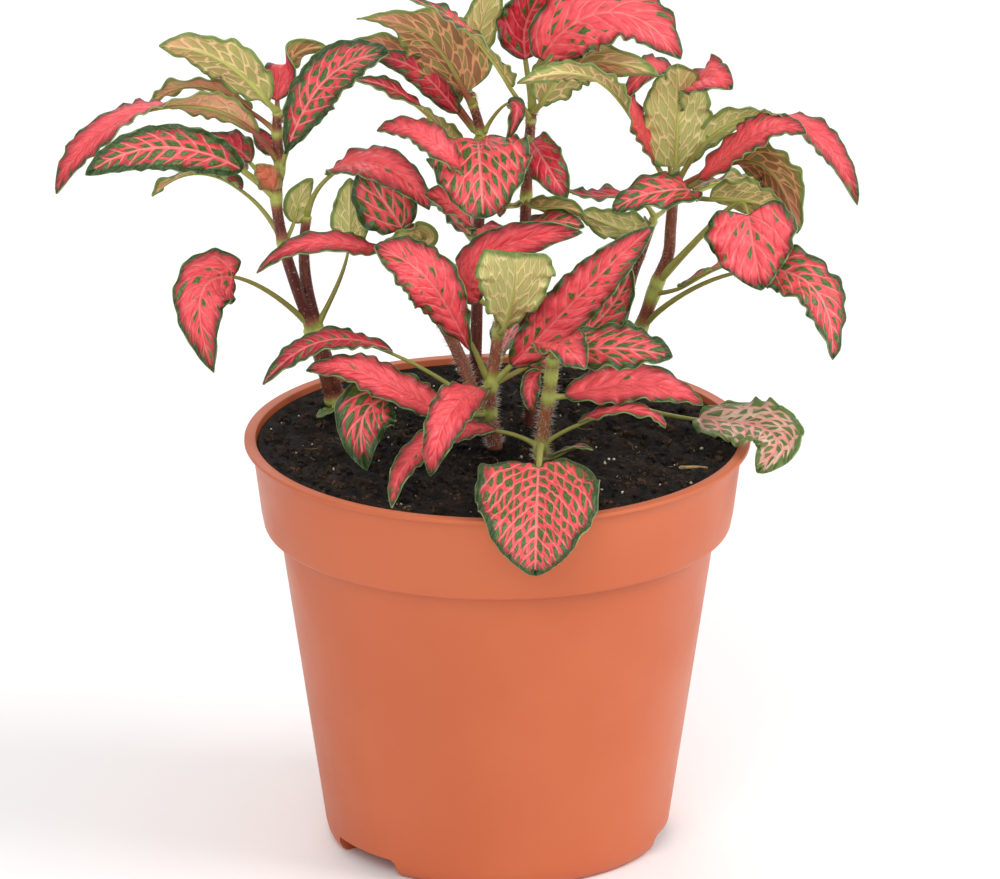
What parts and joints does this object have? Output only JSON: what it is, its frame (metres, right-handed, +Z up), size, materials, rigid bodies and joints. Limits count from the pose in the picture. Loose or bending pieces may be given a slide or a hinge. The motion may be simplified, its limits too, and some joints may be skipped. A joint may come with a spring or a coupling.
{
  "type": "potted nerve plant",
  "caption": "Nerve plant with pink, green-netted leaves on dark stems, growing in a round tapered nursery pot filled with dark soil.",
  "frame": {"origin": "on the pot's axis, on the flat underside that the pot stands on", "axes": "+Z up along the pot's axis, -Y towards the side that the picture shows, +X to that view's right"},
  "size_m": [0.1897, 0.1294, 0.2109],
  "materials": {
    "pot": "satin terracotta plastic, slightly shiny on the rim",
    "soil": "dark crumbly peat with pale specks",
    "leaf": "soft leaf, coral pink with green islands above, olive below"
  },
  "bodies": {
    "root": {"pot": "pot", "soil": "soil", "left_shoot": "leaf", "centre_shoot": "leaf", "tall_shoot": "leaf", "middle_shoot": "leaf", "front_shoot": "leaf", "right_shoot": "leaf", "rear_shoot": "leaf"}
  },
  "joints": []
}
